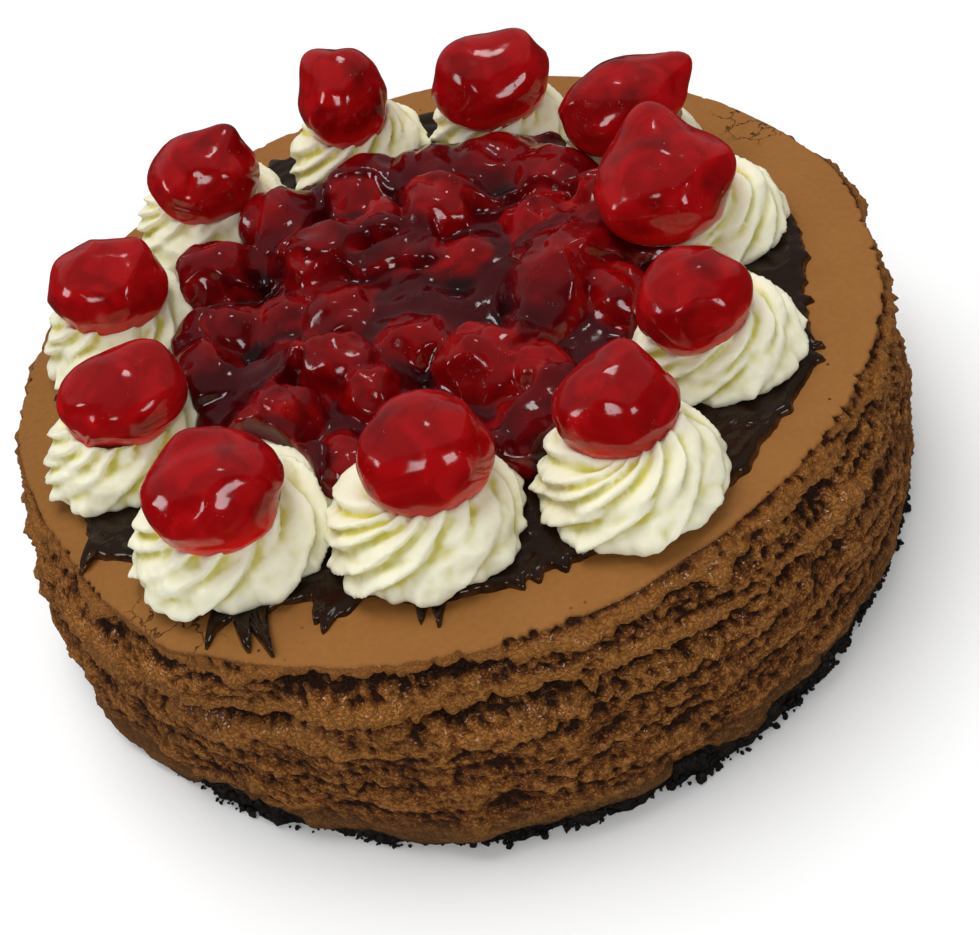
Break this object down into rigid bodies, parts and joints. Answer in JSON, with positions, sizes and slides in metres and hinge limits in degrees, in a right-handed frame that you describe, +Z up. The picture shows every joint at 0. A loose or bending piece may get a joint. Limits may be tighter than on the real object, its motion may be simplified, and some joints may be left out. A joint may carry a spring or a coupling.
{
  "type": "black forest cheesecake",
  "caption": "Round chocolate cheesecake on a thin dark crumb crust, topped with fudge, a heap of cherry filling and a ring of cream rosettes that each hold a cherry.",
  "frame": {"origin": "centre of the flat underside of the crust, which rests on the floor", "axes": "+Z up out of the toppings, -Y towards the side nearest the camera of the picture, +X to its right"},
  "size_m": [0.2267, 0.2286, 0.0951],
  "materials": {
    "crust": "near-black pressed cookie crumbs, dull",
    "cheesecake": "milk-chocolate brown, smooth on top and torn crumb at the side",
    "fudge": "near-black fudge, glossy",
    "filling": "dark red cherries in deep maroon gel, wet gloss",
    "cream": "pale whipped cream, soft satin",
    "cherry": "bright red cherry coated in clear red gel, wet gloss"
  },
  "bodies": {
    "root": {"cookie_crust": "crust", "cheesecake": "cheesecake", "fudge_layer": "fudge", "cherry_filling": "filling", "rosette_01": "cream", "rosette_02": "cream", "rosette_03": "cream", "rosette_04": "cream", "rosette_05": "cream", "rosette_06": "cream", "rosette_07": "cream", "rosette_08": "cream", "rosette_09": "cream", "rosette_10": "cream", "rosette_11": "cream", "cherry_01": "cherry", "cherry_02": "cherry", "cherry_03": "cherry", "cherry_04": "cherry", "cherry_05": "cherry", "cherry_06": "cherry", "cherry_07": "cherry", "cherry_08": "cherry", "cherry_09": "cherry", "cherry_10": "cherry", "cherry_11": "cherry"}
  },
  "joints": []
}
